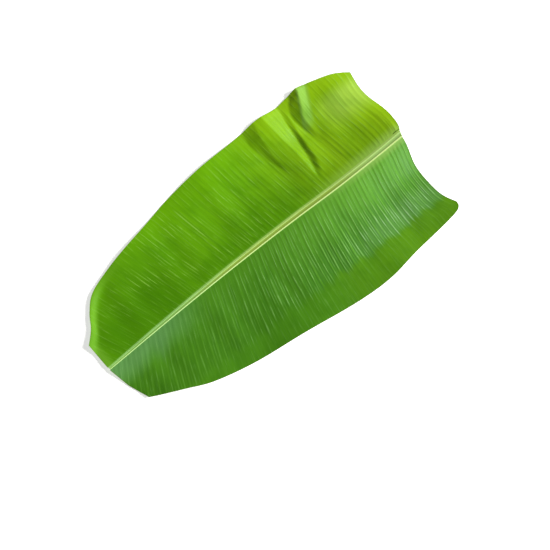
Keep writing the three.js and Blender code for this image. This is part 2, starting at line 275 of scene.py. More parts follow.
# Streaks, as shares for the noise's strength
DARK_UNDER_ALL = 0.25
BROAD_LIGHT = (0.3, 0.7, 0.0, 0.5)
MIDDLING_LIGHT = (0.35, 0.7, 0.0, 0.25)
FINE_DARK = (0.4, 0.75, 0.0, 0.5)
PATCH_DARK = (0.45, 0.7, 0.0, 0.35)
CALM_UPPER_TIP = (0.0, 1.0, 1.0, 0.45)

# Veins, as shares for the distance from a vein's middle: 0 on it and 1 halfway to the next
VEIN_WIDTH = (0.26, 0.05)
VEIN_STRETCHES = (0.4, 0.64)
HALF_VEIN_WIDTH = (0.45, 0.1)
HALF_VEIN_STRETCHES = (0.48, 0.66)
HALF_VEIN_SHARE = 0.6
HAIRS_PER_VEIN = 4.0
HAIR_WIDTH = (0.4, 0.1)
HAIR_STRETCHES = (0.5, 0.75)
HAIR_SHARE = (-0.01, 0.01, 0.2, 0.36)
CLUSTER_SHARE = (0.4, 0.62, 0.3, 1.25)
# Painted highlights on the lower half's rounded veins and beside the midrib, and painted shade in the troughs
# between the veins
ROUNDED_VEIN_HIGHLIGHT = (0.95, 0.1)
HIGHLIGHT_STRIPE_REACH = (1.05, 0.8, 0.08, 0.4)
LIT_BESIDE_RIB_REACH = (0.42, 0.12)
LIT_BESIDE_RIB_VEINS = (52.0, 30.0, 0.15, 0.62)
TROUGH_SHADE_INNER_ZONE = (0.35, 0.75)
TROUGH_SHADE_OUTER_ZONE = (1.16, 1.02)
TROUGH_SHADE_VEINS = (36.0, 22.0, 0.3, 1.0)
TROUGH_SHADE_WIDTH = (0.2, 0.7, 0.0, 0.6)
SHADE_BESIDE_VEIN_INNER = (0.16, 0.36)
SHADE_BESIDE_VEIN_OUTER = (0.85, 0.5)
SHADE_BESIDE_VEIN_SHARE = 0.75
CLEAR_ZONE = (1.18, 1.0, 0.2, 1.0)
CLEAR_VEINS = (52.0, 30.0, 0.3, 1.0)
CLEAR_REACH = (0.05, 0.25, 0.35, 1.0)
# How strongly the veins show: in the upper half and at its tip, in the lower half and in its painted sheen
UPPER_VEIN_SHARE = (0.5, 0.28)
LOWER_VEIN_SHARE = (0.6, 0.7)

# Margin with painted light, rim by the tip cut with a painted highlight, edge, and a painted highlight along
# one crease of the upper half
LIT_MARGIN_GAP = (3.6, 0.6, 0.0, 0.35)
RIM_HIGHLIGHT_GAP = (1.5, 0.5, 0.0, 0.65)
RIM_HIGHLIGHT_LINE_SHARE = 0.3
EDGE_GAP = (0.08, 0.02, 0.0, 0.6)
CREASE_HIGHLIGHT_VEIN = 41.4
CREASE_HIGHLIGHT_WIDTH = (0.16, 0.04)
CREASE_HIGHLIGHT_INNER_REACH = (0.5, 0.7)
CREASE_HIGHLIGHT_OUTER_REACH = (1.3, 1.1)
CREASE_HIGHLIGHT_SHARE = 0.6

# Midrib
SHOULDER_OUTER_ACROSS = (1.45, 0.7)
SHOULDER_INNER_ACROSS = (-1.0, -0.5)
SHOULDER_BASE_VEINS = (28.0, 6.0, 0.5, 0.85)
SHOULDER_TIP_VEINS = (62.0, 42.0, 0.3, 1.0)
PALE_UPPER_ACROSS = (3.0, 1.1)
PALE_LOWER_ACROSS = (-2.2, -1.1)
PALE_VEINS = (26.0, 3.0, 0.0, 0.55)
RIB_ACROSS = (1.0, 0.75)
KEEL_ACROSS = (1.12, 0.92)
UPPER_RIDGE_INNER_ACROSS = (0.36, 0.62)
UPPER_RIDGE_OUTER_ACROSS = (1.2, 0.95)
LOWER_RIDGE_INNER_ACROSS = (-0.45, -0.66)
LOWER_RIDGE_OUTER_ACROSS = (-1.04, -0.88)
RIB_GREEN_VEINS = (20.0, 5.0)
GROOVE_TIP_VEINS = (40.0, 58.0)
RIDGE_TIP_VEINS = (34.0, 58.0)
SLIT_ACROSS = 1.28
SLIT_WIDTH = (0.1, 0.03)
SLIT_VEINS = (2.0, 1.6)

# Shine and fine relief
ROUGHNESS = (0.2, 0.8, 0.28, 0.36)
ZONE_SHINE = (1.2, 0.95, 0.14, 0.35)
HALF_SHINE = (-0.01, 0.01, 0.35, 0.22)
RELIEF_SHARE = 0.5
BUMP_STRENGTH = 0.6
BUMP_HEIGHT = 0.3

# Camera, in plan millimetres and degrees
LENS = 70.0
SENSOR = 36.0
CLIP = (0.05, 20.0)
CAMERA_HEADING = 49.771
CAMERA_ELEVATION = 72.0
CAMERA_DISTANCE = 1587.75
CAMERA_TARGET = (-4.477, -43.204)

# Lights. Azimuth is measured from +X toward +Y, in degrees. Distances and sizes are in metres.
KEY_AZIMUTH = -32.0
KEY_ELEVATION = 30.0
KEY_DISTANCE = 3.0
KEY_STRENGTH = 5.9
KEY_SPREAD = 20.0
KEY_COLOUR = (1.0, 0.98, 0.93)
SHEEN_DISTANCE = 2.0
SHEEN_COLOUR = (0.72, 0.86, 1.0)
SHEENS = {
    "slope_sheen": {"azimuth": -58.0, "elevation": 66.0, "power": 8.0, "size": (0.6, 0.5)},
    "facet_sheen": {"azimuth": 18.0, "elevation": 42.0, "power": 6.5, "size": (0.5, 0.5)},
}
WHITE = (1, 1, 1, 1)
SKY_STRENGTH = 0.16

# Floor, in metres
FLOOR_HALF_SIZE = 30.0
FLOOR_DROP = 0.0005
FLOOR_COLOUR = (0.97, 0.97, 0.97, 1)
FLOOR_ROUGHNESS = 0.9
FLOOR_SHINE = 0.1
FLOOR_GLOW = 0.55


def mix(a, b, k):
    return a + (b - a) * k


def smooth(start, end, v):
    k = np.clip((v - start) / (end - start), 0.0, 1.0)
    return k * k * (3 - 2 * k)


def along_leaf(x):
    """0 at the tip cut, 1 at the base cut."""
    return np.clip((x - TIP_X) / LEAF_LENGTH, 0.0, 1.0)


def rib_half_width(x):
    return mix(*RIB_HALF_WIDTH, along_leaf(x) ** RIB_WIDENING)


def keel_low(x):
    to_base = np.clip((x - BASE_LIFT_START_X) / (BASE_X - BASE_LIFT_START_X), 0, 1)
    to_tip = np.clip((TIP_LIFT_START_X - x) / (TIP_LIFT_START_X - TIP_X), 0, 1)
    return BASE_LIFT * to_base ** 2 + TIP_LIFT * to_tip ** 2


def rib_top(x):
    return keel_low(x) + mix(*KEEL_DEPTH, along_leaf(x) ** KEEL_DEEPENING)


def soft_ramp(v):
    return FOOT_SOFTNESS * np.log1p(np.exp(v / FOOT_SOFTNESS))


def hang(q):
    """The share of the midrib's height left at a distance from it."""
    return soft_ramp(1 - (np.hypot(q, RIB_ARCH) - RIB_ARCH)) / soft_ramp(1.0)


def fold_height(x, r):
    z = np.zeros_like(x)
    knots = []
    for crease in FOLD_CREASES:
        at_r, at_x, height = np.array(crease, float).T
        knots.append((np.interp(r, at_r, at_x), np.interp(r, at_r, height)))
    for (x0, z0), (x1, z1) in zip(knots, knots[1:]):
        here = (x >= x0) & (x <= x1)
        z = np.where(here, mix(z0, z1, (x - x0) / np.maximum(x1 - x0, NARROWEST_FACET)), z)
    return z


def spline(points):
    """A smooth line through the points, as a table of x and y."""
    p = np.array(points, float)
    n = len(points) * OUTLINE_STEPS
    at = np.linspace(0, len(p) - 1, n + 1)
    i = np.minimum(at.astype(int), len(p) - 2)
    t = (at - i)[:, None]
    p0, p1, p2, p3 = p[np.maximum(i - 1, 0)], p[i], p[i + 1], p[np.minimum(i + 2, len(p) - 1)]
    v0, v1 = (p2 - p0) / 2, (p3 - p1) / 2
    return (2 * p1 - 2 * p2 + v0 + v1) * t ** 3 + (3 * p2 - 3 * p1 - 2 * v0 - v1) * t ** 2 + v0 * t + p1


RIB_LINE = spline(RIB_COURSE)


def rib_y(x):
    return np.interp(x, RIB_LINE[:, 0], RIB_LINE[:, 1])


def margin_y(half, x):
    return np.interp(x, half["margin_line"][:, 0], half["margin_line"][:, 1])


def inside(half, x, y):
    tip = half["tip_cut"]
    return (y < margin_y(half, x)) & (x > np.interp(y, [p[1] for p in tip], [p[0] for p in tip]))


def blade_top(half, x, y):
    """Height of the blade's upper face, with y counted outward from the x axis."""
    r = np.abs(y - half["sign"] * rib_y(x))
    edge = margin_y(half, x)
    across = np.clip(y / edge, 0, 1)
    foot = mix(*half["foot"], smooth(*half["foot_widens_x"], x))
    z = LYING_HEIGHT + (rib_top(x) - RIB_EDGE_DROP - LYING_HEIGHT) * hang(r / foot)
    ramp = np.clip((across - WAVE_START) / (1 - WAVE_START), 0, 1) ** WAVE_GROWTH
    wave = WAVE_HEIGHT / 2 * (1 - np.cos(2 * np.pi * (x - half["wave_low_x"]) / WAVE_LENGTH))
    # On the upper half the folds take the place of the margin's wave near the base
    share = 1 - smooth(*FOLDS_TAKE_OVER_X, x) if half is UPPER else 1.0
    z += ramp * (wave * share - WAVE_DIP)
    z += half["corner_curl"] * smooth(CORNER_CURL_X, BASE_X, x) * smooth(*CORNER_CURL_R, r)
    z += half["tip_curl"] * smooth(*TIP_CURL_X, x) * smooth(TIP_CURL_WIDTH, 0.0, edge - y) ** 2
    for height, length in ROLLS:
        z += height * np.sin(np.pi * across) * np.sin(2 * np.pi * x / length + half["sign"])
    if half is UPPER:
        z += fold_height(x, r)
    return z


def vein_course(half, foot_x):
    """Side veins in plan from the midrib outward, one row of points for each foot."""
    reach = np.arange(0, VEIN_LONGEST, VEIN_STEP) / VEIN_BEND_REACH
    angle = np.radians(half["angle"](along_leaf(foot_x)[:, None], reach[None, :]))
    first = np.zeros((len(foot_x), 1))
    x = foot_x[:, None] - np.hstack([first, np.cumsum(VEIN_STEP * np.cos(angle), 1)])
    start_y = half["sign"] * rib_y(foot_x) + rib_half_width(foot_x)
    y = start_y[:, None] + np.hstack([first, np.cumsum(VEIN_STEP * np.sin(angle), 1)])
    return x, y


def cut_at_margin(half, row_x, row_y):
    """One vein's points up to where it meets the margin or the tip cut."""
    out = np.flatnonzero(~inside(half, row_x[1:], row_y[1:]))
    i = out[0] + 1 if len(out) else len(row_x) - 1
    a, b = np.array([row_x[i - 1], row_y[i - 1]]), np.array([row_x[i], row_y[i]])
    for _ in range(HALVINGS):
        middle = (a + b) / 2
        if inside(half, *middle):
            a = middle
        else:
            b = middle
    return np.vstack([np.stack([row_x[:i], row_y[:i]], 1), a])


def veins_to_margin(half, foot_x, columns):
    """Points at the given fractions of each vein, as x, y and the distance along it."""
    x, y = vein_course(half, foot_x)
    cut_x, cut_y = vein_course(half, np.array([BASE_X]))
    # The veins next to the base cut follow its waves, and those farther off less and less
    pull = np.exp(-(BASE_X - foot_x) / CUT_WAVE_REACH)[:, None]
    base = half["base_line"]
    x = x + pull * (np.interp(cut_y[0], base[:, 1], base[:, 0]) - cut_x[0])[None, :]
    points = []
    for row_x, row_y in zip(x, y):
        line = cut_at_margin(half, row_x, row_y)
        length = np.concatenate([[0], np.cumsum(np.hypot(*np.diff(line, axis=0).T))])
        at = columns * length[-1]
        points.append(np.stack([np.interp(at, length, line[:, 0]), np.interp(at, length, line[:, 1]), at], 1))
    points = np.array(points)
    # The vein that ends nearest the tip corner is led into it, which keeps the corner sharp
    corner = np.array(half["tip_cut"][-1], float)
    nearest = np.argmin(np.hypot(*(points[:, -1, :2] - corner).T))
    points[nearest, :, :2] += columns[:, None] * (corner - points[nearest, -1, :2])
    return points


def row_feet():
    """Feet of the rows on the midrib, with the vein number of each."""
    span = LEAF_LENGTH - LAST_VEIN_OFFSET
    pitch = (VEIN_PITCH_BASE + VEIN_PITCH_TIP) / 2
    veins = round(span / pitch)
    k = np.linspace(0, 1, veins * ROWS_PER_VEIN + 1)
    so_far = VEIN_PITCH_BASE * k + (VEIN_PITCH_TIP - VEIN_PITCH_BASE) * k ** 2 / 2
    return BASE_X - span * so_far / pitch, k * veins


def blade_columns():
    """Fractions of a vein's length, closer together by the midrib and by the margin."""
    even = np.linspace(0, 1, BLADE_COLUMNS + 1)
    return even - COLUMN_CROWDING * np.sin(2 * np.pi * even) / (2 * np.pi)


def unevenness(vein_number, columns, seed):
    """Numbers from -1 to 1 that change from vein to vein and along each."""
    k, w = vein_number[:, None], columns[None, :]
    return sum(
        np.sin(a * k + b * w + seed * (i + 1)) for i, (a, b) in enumerate(UNEVEN_WAVES)
    ) / len(UNEVEN_WAVES)


def vein_relief(half, vein_number, columns):
    """Height that the side veins add, one row for each foot."""
    fade = smooth(*VEIN_RISE, columns) * (1 - VEIN_LOSS_AT_MARGIN * columns ** 2)
    if half is LOWER:
        fade = fade * (1 - SMOOTH_STRIP_LOSS * smooth(*SMOOTH_STRIP, columns))
    strength = half["relief"] * (1 + VEIN_UNEVENNESS * unevenness(vein_number, columns, half["sign"]))
    strength *= 1 - TIP_RELIEF_LOSS * smooth(*TIP_RELIEF_VEINS, vein_number)[:, None]
    return strength * fade[None, :] * np.cos(2 * np.pi * vein_number)[:, None]


def half_grid(half, feet, vein_number, columns):
    half["margin_line"] = spline(half["margin"])[::-1]
    half["base_line"] = spline(half["base_cut"])
    p = veins_to_margin(half, feet, columns)
    x, y, length = p[..., 0], p[..., 1], p[..., 2]
    z = blade_top(half, x, y) + vein_relief(half, vein_number, columns)
    return {"x": x, "y": half["sign"] * y, "z": z, "length": length * half["sign"]}


def rib_grid(up, low, feet, q):
    """The midrib between the two halves, where q runs from 1 at the upper half to -1 at the lower one."""
    k = ((1 - q) / 2)[None, :]
    rib = {name: mix(up[name][:, :1], low[name][:, :1], k) for name in ("x", "y")}
    edge = mix(up["z"][:, :1], low["z"][:, :1], k)
    crown = rib_top(feet)[:, None]
    groove = mix(*GROOVE_DEPTH, along_leaf(feet))[:, None] * (1 - smooth(*GROOVE_SIDE, np.abs(q)))
    rib["z"] = mix(crown, edge, smooth(*RIB_ROUNDING, np.abs(q))[None, :]) - groove
    rib["length"] = np.zeros_like(rib["x"])
    return rib


def underside(grid, feet, q):
    """Height of the lower side: the blade's own thickness below the upper one, and the midrib's keel."""
    slopes = [np.gradient(grid[name]) for name in ("x", "y", "z")]
    by_row, by_column = (np.stack([slope[axis] for slope in slopes], -1) for axis in (0, 1))
    normal = np.cross(by_row, by_column)
    upright = np.abs(normal[..., 2]) / np.linalg.norm(normal, axis=-1)
    under = np.maximum(0.0, grid["z"] - BLADE_THICKNESS / np.maximum(upright, LEAST_UPRIGHT))
    k = ((1 - q) / 2)[None, :]
    edge = mix(under[:, [BLADE_COLUMNS]], under[:, [-BLADE_COLUMNS - 1]], k)
    under[:, RIB_INSIDE] = mix(keel_low(feet)[:, None], edge, (1 - np.sqrt(1 - q ** 2))[None, :])
    return under


def centred_points(grid, top, under):
    """The upper side's points, then the lower side's, and the middle that they were moved by."""
    upper, lower = (np.stack([grid["x"], grid["y"], z], -1).reshape(-1, 3) for z in (top, under))
    middle = (upper.min(0) + upper.max(0)) / 2
    middle[2] = 0.0
    return np.vstack([upper, lower]) - middle, middle


def leaf_faces(rows, cols):
    """The upper side, the lower side and the narrow wall round the edge, and the points along that edge."""
    index = np.arange(rows * cols).reshape(rows, cols)
    a, b, c, d = index[:-1, :-1], index[1:, :-1], index[1:, 1:], index[:-1, 1:]
    upper = np.stack([a, b, c, d], -1).reshape(-1, 4)
    lower = upper[:, ::-1] + rows * cols
    rim = np.concatenate([index[:, 0], index[-1, 1:], index[-2::-1, -1], index[0, -2:0:-1]])
    after = np.roll(rim, -1)
    wall = np.stack([after, rim, rim + rows * cols, after + rows * cols], -1)
    return upper, lower, wall, rim


def leaf_mesh(vertices, upper, lower, wall):
    faces = np.vstack([upper, lower, wall])
    mesh = bpy.data.meshes.new("leaf_blade")
    mesh.from_pydata((vertices * MM).tolist(), [], faces.tolist())
    mesh.polygons.foreach_set("use_smooth", np.ones(len(faces), bool))
    mesh.materials.append(leaf_material("leaf_upper_side", UPPER_SIDE))
    mesh.materials.append(leaf_material("leaf_lower_side", LOWER_SIDE))
    slots = np.zeros(len(faces), np.int32)
    slots[len(upper):len(upper) + len(lower)] = 1
    mesh.polygons.foreach_set("material_index", slots)
    return mesh


def outline_distance(x, y, outline):
    """Distance in plan from each point to the leaf's edge."""
    best = np.full(x.shape, np.inf)
    for (ax, ay), (bx, by) in zip(outline, np.roll(outline, -1, axis=0)):
        length = (bx - ax) ** 2 + (by - ay) ** 2
        if length == 0:
            continue
        t = np.clip(((x - ax) * (bx - ax) + (y - ay) * (by - ay)) / length, 0, 1)
        best = np.minimum(best, np.hypot(x - ax - t * (bx - ax), y - ay - t * (by - ay)))
    return best


def add_maps(mesh, grid, vein_number, q, rim):
    """Maps for the materials: vein number and distance along it, place across and gap to the edge."""
    rows, cols = grid["x"].shape
    outline = np.stack([grid["x"].ravel()[rim], grid["y"].ravel()[rim]], 1)
    gap = outline_distance(grid["x"], grid["y"], outline)
    numbers = np.repeat(vein_number[:, None], cols, 1)
    blade = np.ones(BLADE_COLUMNS + 1)
    across = np.concatenate([blade, q, -blade])[None, :] + grid["length"] / ACROSS_UNIT
    both_sides = np.tile(np.arange(rows * cols), 2)
    loops = np.empty(len(mesh.loops), np.int32)
    mesh.loops.foreach_get("vertex_index", loops)
    maps = {
        "veins": (numbers, grid["length"] / ALONG_VEIN_UNIT),
        "across": (across, gap / ACROSS_UNIT),
    }
    for name, (first, second) in maps.items():
        uv = np.stack([first.ravel(), second.ravel()], 1)[both_sides]
        layer = mesh.uv_layers.new(name=name)
        layer.uv.foreach_set("vector", uv[loops].astype(np.float32).ravel())


def build_leaf():
    feet, vein_number = row_feet()
    columns = blade_columns()
    up, low = (half_grid(half, feet, vein_number, columns) for half in (UPPER, LOWER))
    q = np.linspace(1, -1, RIB_COLUMNS + 1)[1:-1]
    rib = rib_grid(up, low, feet, q)
    grid = {name: np.hstack([up[name][:, ::-1], rib[name], low[name]]) for name in up}
    under = underside(grid, feet, q)
    top = np.maximum(grid["z"], under + BLADE_THICKNESS)
    top[:, RIB_INSIDE] = grid["z"][:, RIB_INSIDE]
    vertices, middle = centred_points(grid, top, under)
    upper, lower, wall, rim = leaf_faces(*top.shape)
    mesh = leaf_mesh(vertices, upper, lower, wall)
    add_maps(mesh, grid, vein_number, q, rim)
    mesh.validate()
    mesh.update()
    leaf = bpy.data.objects.new("leaf_blade", mesh)
    bpy.context.scene.collection.objects.link(leaf)
    # The wall's edges stay sharp, so that the shading of the two sides doesn't run round the rim
    mesh.set_sharp_from_angle(angle=math.radians(SHARP_EDGE_ANGLE))
    return leaf, middle


def linear(rgb):
    """A colour given as 0 to 255, as the shader's numbers."""
    return tuple(((c / 255 + 0.055) / 1.055) ** 2.4 if c > 10 else c / 255 / 12.92 for c in rgb) + (1.0,)


def grey(value):
    return (value, value, value, 1)


class Nodes:
    """Short calls for building a material's node graph."""

    def __init__(self, material):
        material.use_nodes = True
        self.tree = material.node_tree
        self.tree.nodes.clear()

    def put(self, socket, value):
        if isinstance(value, bpy.types.NodeSocket):
            self.tree.links.new(value, socket)
        else:
            socket.default_value = value

    def math(self, operation, a, b=0.0, clamp=False):
        n = self.tree.nodes.new("ShaderNodeMath")
        n.operation = operation
        n.use_clamp = clamp
        self.put(n.inputs[0], a)
        self.put(n.inputs[1], b)
        return n.outputs[0]

    def times(self, first, *others):
        for other in others:
            first = self.math("MULTIPLY", first, other)
        return first

    def away(self, value, place):
        """Distance of a value from a place."""
        return self.math("ABSOLUTE", self.math("SUBTRACT", value, place))

    def zigzag(self, value):
        """0 at each whole number, 1 halfway between."""
        return self.math("MULTIPLY", self.math("PINGPONG", value, 0.5), 2.0)

    def uv(self, name):
        n = self.tree.nodes.new("ShaderNodeUVMap")
        n.uv_map = name
        split = self.tree.nodes.new("ShaderNodeSeparateXYZ")
        self.tree.links.new(n.outputs[0], split.inputs[0])
        return split.outputs[0], split.outputs[1]

    def noise(self, x, y, z, detail, roughness):
        place = self.tree.nodes.new("ShaderNodeCombineXYZ")
        for socket, value in zip(place.inputs, (x, y, z)):
            self.put(socket, value)
        n = self.tree.nodes.new("ShaderNodeTexNoise")
        self.put(n.inputs["Vector"], place.outputs[0])
        n.inputs["Scale"].default_value = 1.0
        n.inputs["Detail"].default_value = detail
        n.inputs["Roughness"].default_value = roughness
        return n.outputs["Fac"]

    def ramp(self, value, start, end, low=0.0, high=1.0):
        n = self.tree.nodes.new("ShaderNodeMapRange")
        n.interpolation_type = "SMOOTHSTEP"
        self.put(n.inputs[0], value)
        for socket, number in zip(n.inputs[1:5], (start, end, low, high)):
            self.put(socket, number)
        return n.outputs[0]

    def blend(self, factor, a, b, mode="MIX"):
        n = self.tree.nodes.new("ShaderNodeMix")
        n.data_type = "RGBA"
        n.blend_type = mode
        self.put(n.inputs[0], factor)
        self.put(n.inputs[6], a)
        self.put(n.inputs[7], b)
        return n.outputs[2]


class LeafNodes(Nodes):
    """The graph of one side of the leaf, with its two maps and the colour laid on so far."""

    def __init__(self, material, greens):
        super().__init__(material)
        self.green = {name: linear(rgb) for name, rgb in greens.items()}
        self.number, self.length = self.uv("veins")
        self.across, self.gap = self.uv("across")
        self.upper_half = self.ramp(self.length, *UPPER_HALF_REACH)
        self.lower_half = self.math("SUBTRACT", 1.0, self.upper_half)
        self.near_tip = self.ramp(self.number, *TIP_VEINS)
        self.reach = self.math("ABSOLUTE", self.length)
        wobble = self.math("SUBTRACT", self.streaks(REACH_WOBBLE), 0.5)
        self.zone = self.math("ADD", self.reach, self.math("MULTIPLY", wobble, REACH_WOBBLE_WIDTH))
        self.fine = self.streaks(FINE_STREAKS)
        self.colour = None

    def streaks(self, settings):
        """Noise drawn out along the veins."""
        per_vein, per_100_mm, seed, detail, roughness = settings
        x = self.math("MULTIPLY", self.number, per_vein)
        y = self.math("MULTIPLY", self.length, per_100_mm)
        return self.noise(x, y, seed, detail, roughness)

    def lay(self, share, colour):
        """Lays a colour over what is there."""
        self.colour = self.blend(share, self.colour, colour)


def upper_half_green(n):
    green = n.blend(n.ramp(n.number, *BASE_VEINS), n.green["upper"], n.green["upper_base"])
    # Painted shade beside the midrib, and a darker green toward the tip
    shade_by_rib = n.times(n.ramp(n.reach, *SHADE_BY_RIB_REACH), n.ramp(n.number, *SHADE_BY_RIB_VEINS))
    by_tip = n.times(n.ramp(n.number, *DEEP_BY_TIP_VEINS), n.ramp(n.reach, *DEEP_BY_TIP_REACH))
    green = n.blend(n.math("MAXIMUM", shade_by_rib, by_tip), green, n.green["upper_deep_and_shade"])
    by_cut = n.times(n.ramp(n.number, *CUT_VEINS), n.ramp(n.reach, *CUT_REACH))
    green = n.blend(by_cut, green, n.green["upper_cut"])
    # A painted highlight on the hump by the base corner
    hump_highlight = n.times(
        n.ramp(n.number, *HUMP_HIGHLIGHT_VEINS), n.ramp(n.reach, *HUMP_HIGHLIGHT_INNER_REACH), n.ramp(n.reach, *HUMP_HIGHLIGHT_OUTER_REACH)
    )
    green = n.blend(hump_highlight, green, n.green["upper_hump_highlight"])
    # A painted sheen on the second fold's light facet
    slant = n.math("ADD", n.number, n.math("MULTIPLY", n.reach, FACET_SLANT))
    painted_facet_sheen = n.times(
        n.ramp(slant, *FACET_TIP_SIDE), n.ramp(slant, *FACET_BASE_SIDE), n.ramp(n.reach, *FACET_REACH)
    )
    return n.blend(painted_facet_sheen, green, n.green["upper_facet_painted_sheen"])


def lower_half_green(n):
    # Painted light on the slope beside the midrib near the base cut
    toward_base = n.blend(n.ramp(n.zone, *LOWER_LIT_ZONE), n.green["lower_margin"], n.green["lower_lit_base"])
    green = n.blend(n.ramp(n.number, *LOWER_BASE_VEINS), n.green["lower"], toward_base)
    # A painted sheen beside the midrib near the tip
    tip_sheen = n.times(n.ramp(n.number, *TIP_SHEEN_VEINS), n.ramp(n.zone, *TIP_SHEEN_ZONE))
    return n.blend(tip_sheen, green, n.green["lower_tip_sheen"])


def lay_streaks(n, dark, light):
    """Streaks along the veins, from broad to fine."""
    n.lay(DARK_UNDER_ALL, dark)
    n.lay(n.ramp(n.streaks(BROAD_STREAKS), *BROAD_LIGHT), light)
    n.lay(n.ramp(n.streaks(MIDDLING_STREAKS), *MIDDLING_LIGHT), light)
    calm = n.ramp(n.times(n.near_tip, n.upper_half), *CALM_UPPER_TIP)
    n.lay(n.times(n.ramp(n.fine, *FINE_DARK), calm), dark)
    n.lay(n.times(n.ramp(n.streaks(PATCHES), *PATCH_DARK), calm), dark)


def lay_lower_painted_light(n, from_vein, dark, darkest_shade, light):
    """The lower half's rounded veins: painted highlights on them and beside the midrib, painted shade in the
    troughs between.
    """
    n.lay(n.times(n.ramp(from_vein, *ROUNDED_VEIN_HIGHLIGHT), n.lower_half, n.ramp(n.reach, *HIGHLIGHT_STRIPE_REACH)), light)
    lit_beside_rib = n.times(n.ramp(n.reach, *LIT_BESIDE_RIB_REACH), n.ramp(n.number, *LIT_BESIDE_RIB_VEINS))
    n.lay(n.times(lit_beside_rib, n.lower_half), light)
    trough_shade = n.times(
        n.ramp(n.zone, *TROUGH_SHADE_INNER_ZONE), n.ramp(n.zone, *TROUGH_SHADE_OUTER_ZONE),
        n.lower_half, n.ramp(n.number, *TROUGH_SHADE_VEINS),
    )
    n.lay(n.times(trough_shade, n.ramp(from_vein, *TROUGH_SHADE_WIDTH)), dark)
    shade_beside_vein = n.times(n.ramp(from_vein, *SHADE_BESIDE_VEIN_INNER), n.ramp(from_vein, *SHADE_BESIDE_VEIN_OUTER))
    n.lay(n.times(trough_shade, shade_beside_vein, SHADE_BESIDE_VEIN_SHARE), darkest_shade)


def vein_lines(n, drifting, from_vein):
    """Hairlines on the veins and halfway between them, clear in some stretches and faint in others; they are
    partly the veins' own paler colour and partly painted glints.
    """
    vein = n.times(n.ramp(from_vein, *VEIN_WIDTH), n.ramp(n.streaks(DASHES), *VEIN_STRETCHES))
    from_half = n.zigzag(n.math("MULTIPLY", drifting, 2.0))
    stretches = n.ramp(n.streaks(HALF_VEIN_DASHES), *HALF_VEIN_STRETCHES)
    half_vein = n.times(n.ramp(from_half, *HALF_VEIN_WIDTH), stretches, HALF_VEIN_SHARE)
    clear = n.times(
        n.ramp(n.zone, *CLEAR_ZONE), n.ramp(n.number, *CLEAR_VEINS), n.ramp(n.reach, *CLEAR_REACH)
    )
    return n.times(n.math("MAXIMUM", vein, half_vein), n.math("MAXIMUM", n.upper_half, clear))


def lay_veins(n, vein, painted_sheen, line):
    """The lower half's painted sheen near the base cut, then the vein lines, partly painted glints, with
    finer hairs between them.
    """
    n.lay(n.times(painted_sheen, n.lower_half, PAINTED_SHEEN_SHARE), line)
    upper_share = n.blend(n.near_tip, *(grey(share) for share in UPPER_VEIN_SHARE))
    lower_share = n.blend(painted_sheen, *(grey(share) for share in LOWER_VEIN_SHARE))
    strength = n.blend(n.upper_half, lower_share, upper_share)
    grouped = n.math("MAXIMUM", n.lower_half, n.ramp(n.streaks(CLUSTERS), *CLUSTER_SHARE))
    n.lay(n.math("MULTIPLY", n.times(vein, strength), grouped, clamp=True), line)
    from_hair = n.zigzag(n.math("MULTIPLY", n.number, HAIRS_PER_VEIN))
    hair = n.times(n.ramp(from_hair, *HAIR_WIDTH), n.ramp(n.streaks(FAINT_DASHES), *HAIR_STRETCHES))
    n.lay(n.times(hair, n.ramp(n.length, *HAIR_SHARE), grouped), line)


def lay_margin(n, light, line):
    """Painted light toward the margin, a painted highlight along the curled rim by the tip cut and along one
    crease that the shape lacks, and a brown edge.
    """
    n.lay(n.times(n.upper_half, n.ramp(n.gap, *LIT_MARGIN_GAP)), light)
    # A painted highlight on the curled rim by the tip cut
    rim = n.times(n.upper_half, n.near_tip, n.ramp(n.gap, *RIM_HIGHLIGHT_GAP))
    n.lay(rim, light)
    n.lay(n.times(rim, RIM_HIGHLIGHT_LINE_SHARE), line)
    # A painted highlight along a crease that the shape doesn't have
    crease = n.times(
        n.ramp(n.away(n.number, CREASE_HIGHLIGHT_VEIN), *CREASE_HIGHLIGHT_WIDTH),
        n.ramp(n.length, *CREASE_HIGHLIGHT_INNER_REACH), n.ramp(n.length, *CREASE_HIGHLIGHT_OUTER_REACH), CREASE_HIGHLIGHT_SHARE,
    )
    n.lay(crease, line)
    n.lay(n.ramp(n.gap, *EDGE_GAP), linear(EDGE_BROWN))


